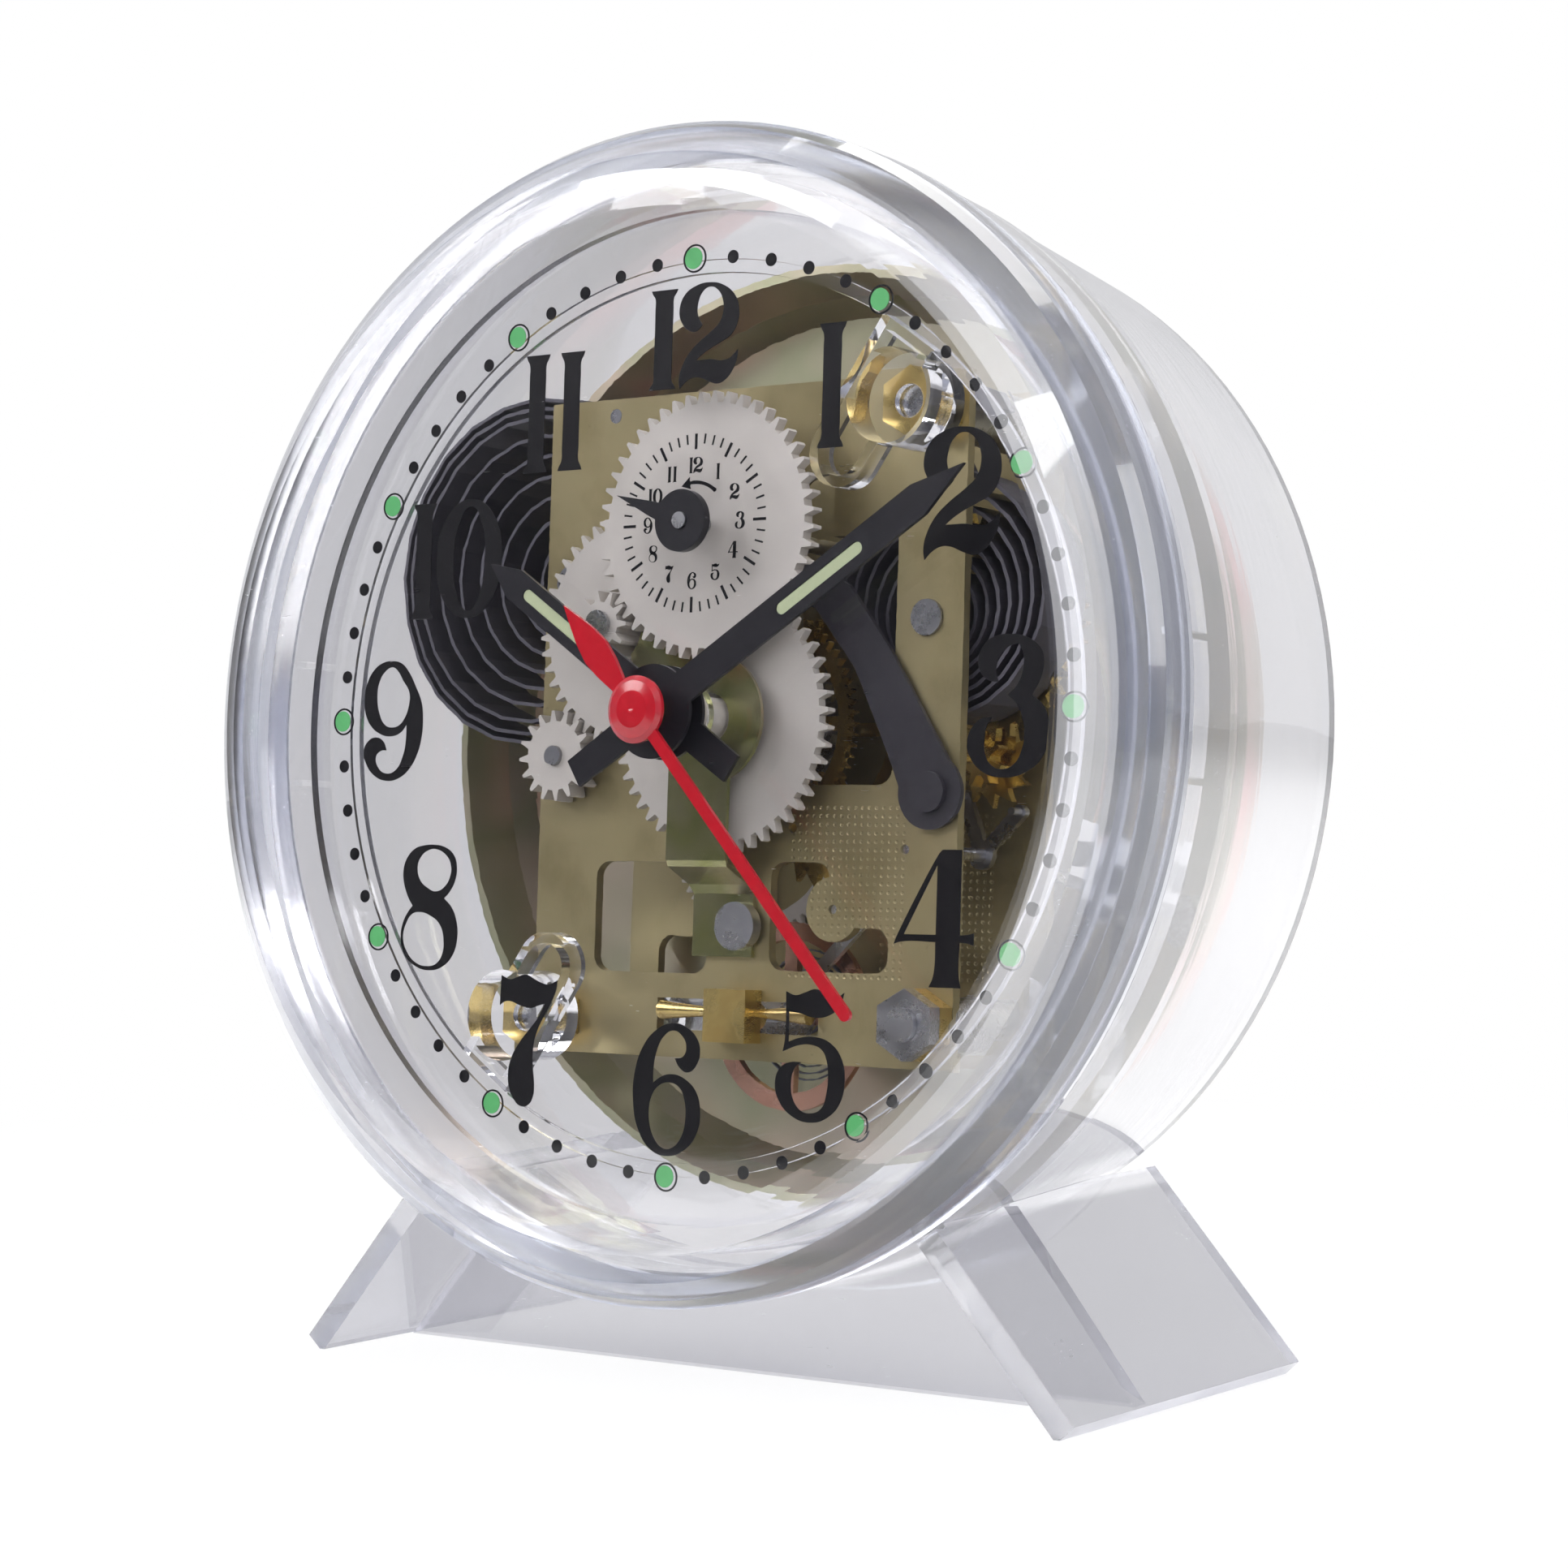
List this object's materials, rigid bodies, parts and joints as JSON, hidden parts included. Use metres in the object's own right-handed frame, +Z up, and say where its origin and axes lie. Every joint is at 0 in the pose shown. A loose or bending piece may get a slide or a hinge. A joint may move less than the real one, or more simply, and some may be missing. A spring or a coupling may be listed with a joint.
{
  "type": "wind-up alarm clock",
  "caption": "Round wind-up alarm clock in a clear plastic case on two splayed feet, with its movement, mainsprings, bell, hands and alarm sub-dial on show and its keys and knobs behind.",
  "frame": {"origin": "centre of the bounding box in X and Y, at the table under the feet", "axes": "+Z up, -Y is the side that the dial faces, +X is towards 3 o'clock; the dial leans back by 3.7 degrees"},
  "size_m": [0.1044, 0.0608, 0.1124],
  "materials": {
    "clear_plastic": "clear and glossy",
    "brass_plate": "dull olive passivation",
    "yellow_brass": "bright",
    "nylon_wheel": "satin off-white nylon",
    "steel": "bright turned",
    "blued_steel": "dark hardened strip",
    "olive_steel": "olive passivation",
    "black_steel": "black",
    "red_lacquer": "glossy red",
    "white_nylon": "satin white",
    "black_plastic": "black moulded",
    "plated_key": "brassy plate",
    "passivated_bell": "yellow iridescent passivation"
  },
  "bodies": {
    "clock_case": {"rear_case": "clear_plastic", "front_lens": "clear_plastic", "dial": "clear_plastic", "case_screws": "steel", "minute_wheel_stud": "steel", "leaf_spring": "olive_steel", "leaf_spring_screw": "steel", "release_rivet": "black_steel", "front_plate": "brass_plate", "back_plate": "brass_plate", "pillars": "steel", "pillar_nuts": "steel", "hex_spacers": "yellow_brass", "bearing_block": "yellow_brass", "balance_cones": "yellow_brass", "spring_post": "steel", "time_mainspring": "blued_steel", "alarm_mainspring": "blued_steel", "hairspring": "blued_steel", "bell": "passivated_bell", "bell_screw": "steel"},
    "seconds": {"seconds_arbor": "steel", "fourth_wheel": "yellow_brass", "second_hand": "red_lacquer"},
    "minutes": {"centre_tube": "steel", "centre_wheel": "yellow_brass", "cannon_pinion": "yellow_brass", "minute_hand": "black_steel"},
    "hours": {"hour_wheel": "nylon_wheel", "hour_hand": "black_steel"},
    "minute_wheel": {"minute_wheel": "nylon_wheel"},
    "alarm_wheel": {"alarm_wheel": "nylon_wheel"},
    "setting": {"setting_arbor": "steel", "setting_pinion": "nylon_wheel", "setting_knob": "black_plastic"},
    "intermediate": {"intermediate_wheel": "yellow_brass"},
    "time_great_wheel": {"time_great_wheel": "yellow_brass"},
    "time_winding": {"time_winding_arbor": "steel", "time_ratchet": "steel", "time_key": "plated_key"},
    "time_click": {"time_click": "steel"},
    "third": {"third_arbor": "steel", "third_wheel": "white_nylon"},
    "escape": {"escape_wheel": "yellow_brass"},
    "pallet_fork": {"pallet_fork": "steel"},
    "balance": {"balance_staff": "steel", "balance_wheel": "yellow_brass"},
    "regulator": {"regulator_lever": "steel"},
    "alarm_great_wheel": {"alarm_great_wheel": "yellow_brass"},
    "alarm_winding": {"alarm_winding_arbor": "steel", "alarm_ratchet": "steel", "alarm_key": "plated_key"},
    "alarm_click": {"alarm_click": "steel"},
    "star_wheel": {"star_wheel": "yellow_brass"},
    "hammer": {"alarm_hammer": "steel"},
    "alarm_setting": {"alarm_spindle": "steel", "alarm_hand": "black_steel", "alarm_set_knob": "black_plastic"},
    "release_lever": {"release_lever": "black_steel"},
    "alarm_stop": {"alarm_stop_pin": "black_plastic"}
  },
  "joints": [
    {"name": "second_hand_turn", "type": "hinge", "parent": "clock_case", "child": "seconds", "pos_m": [0, 0.00383, 0.05834], "axis": [0, 0.9979, -0.0645], "continuous": true},
    {"name": "minute_hand_turn", "type": "hinge", "parent": "clock_case", "child": "minutes", "pos_m": [0, -0.00415, 0.05886], "axis": [0, 0.9979, -0.0645], "continuous": true},
    {"name": "hour_hand_turn", "type": "hinge", "parent": "clock_case", "child": "hours", "pos_m": [0, -0.01113, 0.05931], "axis": [0, 0.9979, -0.0645], "continuous": true},
    {"name": "minute_wheel_turn", "type": "hinge", "parent": "clock_case", "child": "minute_wheel", "pos_m": [-0.0115, -0.00858, 0.06782], "axis": [0, 0.9979, -0.0645], "continuous": true},
    {"name": "alarm_wheel_turn", "type": "hinge", "parent": "clock_case", "child": "alarm_wheel", "pos_m": [0, -0.01201, 0.07671], "axis": [0, 0.9979, -0.0645], "continuous": true},
    {"name": "hand_setting_turn", "type": "hinge", "parent": "clock_case", "child": "setting", "pos_m": [-0.0199, 0.01601, 0.05452], "axis": [0, 0.9979, -0.0645], "continuous": true},
    {"name": "intermediate_wheel_turn", "type": "hinge", "parent": "clock_case", "child": "intermediate", "pos_m": [-0.00969, 0.00225, 0.06484], "axis": [0, 0.9979, -0.0645], "continuous": true},
    {"name": "time_great_wheel_turn", "type": "hinge", "parent": "clock_case", "child": "time_great_wheel", "pos_m": [-0.0205, 0.00171, 0.07201], "axis": [0, 0.9979, -0.0645], "continuous": true},
    {"name": "third_wheel_turn", "type": "hinge", "parent": "clock_case", "child": "third", "pos_m": [-0.00708, 0.00425, 0.04927], "axis": [0, 0.9979, -0.0645], "continuous": true},
    {"name": "escape_wheel_turn", "type": "hinge", "parent": "clock_case", "child": "escape", "pos_m": [0.00622, -0.00377, 0.04917], "axis": [0, 0.9979, -0.0645], "continuous": true},
    {"name": "balance_swing", "type": "hinge", "parent": "clock_case", "child": "balance", "pos_m": [0.001, -0.00188, 0.03196], "axis": [0, 0.9979, -0.0645], "range_deg": [-22, 22], "stiffness_Nm_per_rad": 0.000008, "deforming": ["hairspring"]},
    {"name": "pallet_fork_rock", "type": "hinge", "parent": "clock_case", "child": "pallet_fork", "pos_m": [0.0109, -0.00324, 0.04187], "axis": [0, 0.9979, -0.0645], "range_deg": [-4.2, 4.2]},
    {"name": "time_winding_turn", "type": "hinge", "parent": "time_great_wheel", "child": "time_winding", "pos_m": [-0.0205, 0.01708, 0.07102], "axis": [0, 0.9979, -0.0645], "continuous": true, "deforming": ["time_mainspring"]},
    {"name": "time_click_lift", "type": "hinge", "parent": "time_great_wheel", "child": "time_click", "pos_m": [-0.0227, 0.0023, 0.06556], "axis": [0, 0.9979, -0.0645], "range_deg": [0, 12]},
    {"name": "regulator_move", "type": "hinge", "parent": "clock_case", "child": "regulator", "pos_m": [0.001, 0.0061, 0.03144], "axis": [0, 0.9979, -0.0645], "range_deg": [-12, 12]},
    {"name": "alarm_great_wheel_turn", "type": "hinge", "parent": "clock_case", "child": "alarm_great_wheel", "pos_m": [0.0202, 0.00141, 0.06742], "axis": [0, 0.9979, -0.0645], "continuous": true},
    {"name": "star_wheel_turn", "type": "hinge", "parent": "clock_case", "child": "star_wheel", "pos_m": [0.02041, 0.00264, 0.05532], "axis": [0, 0.9979, -0.0645], "continuous": true},
    {"name": "alarm_winding_turn", "type": "hinge", "parent": "alarm_great_wheel", "child": "alarm_winding", "pos_m": [0.0202, 0.01678, 0.06643], "axis": [0, 0.9979, -0.0645], "continuous": true, "deforming": ["alarm_mainspring"]},
    {"name": "alarm_click_lift", "type": "hinge", "parent": "alarm_great_wheel", "child": "alarm_click", "pos_m": [0.018, 0.002, 0.06097], "axis": [0, 0.9979, -0.0645], "range_deg": [0, 12]},
    {"name": "hammer_swing", "type": "hinge", "parent": "clock_case", "child": "hammer", "pos_m": [0.0185, 0.00708, 0.04661], "axis": [0, 0.9979, -0.0645], "range_deg": [-2.3, 3]},
    {"name": "alarm_hand_set", "type": "hinge", "parent": "clock_case", "child": "alarm_setting", "pos_m": [0, 0.01732, 0.07481], "axis": [0, 0.9979, -0.0645], "continuous": true},
    {"name": "release_lever_flex", "type": "hinge", "parent": "clock_case", "child": "release_lever", "pos_m": [0.0214, -0.00856, 0.05263], "axis": [0.7436, 0.0431, 0.6672], "range_deg": [0, 1.3]},
    {"name": "alarm_stop_push", "type": "slide", "parent": "clock_case", "child": "alarm_stop", "axis": [0, -0.9979, 0.0645], "range_m": [0, 0.0025]}
  ],
  "couplings": [
    {"joint": "minute_hand_turn", "follows": "second_hand_turn", "ratio": 0.016667},
    {"joint": "hour_hand_turn", "follows": "second_hand_turn", "ratio": 0.0013889},
    {"joint": "minute_wheel_turn", "follows": "second_hand_turn", "ratio": -0.0060606},
    {"joint": "alarm_wheel_turn", "follows": "second_hand_turn", "ratio": 0.0013889},
    {"joint": "hand_setting_turn", "follows": "second_hand_turn", "ratio": 0.016667},
    {"joint": "intermediate_wheel_turn", "follows": "second_hand_turn", "ratio": -0.01},
    {"joint": "time_great_wheel_turn", "follows": "second_hand_turn", "ratio": 0.0022222},
    {"joint": "third_wheel_turn", "follows": "second_hand_turn", "ratio": -0.13333},
    {"joint": "escape_wheel_turn", "follows": "second_hand_turn", "ratio": -8},
    {"joint": "pallet_fork_rock", "follows": "balance_swing", "ratio": -0.18755},
    {"joint": "star_wheel_turn", "follows": "alarm_great_wheel_turn", "ratio": -5}
  ]
}
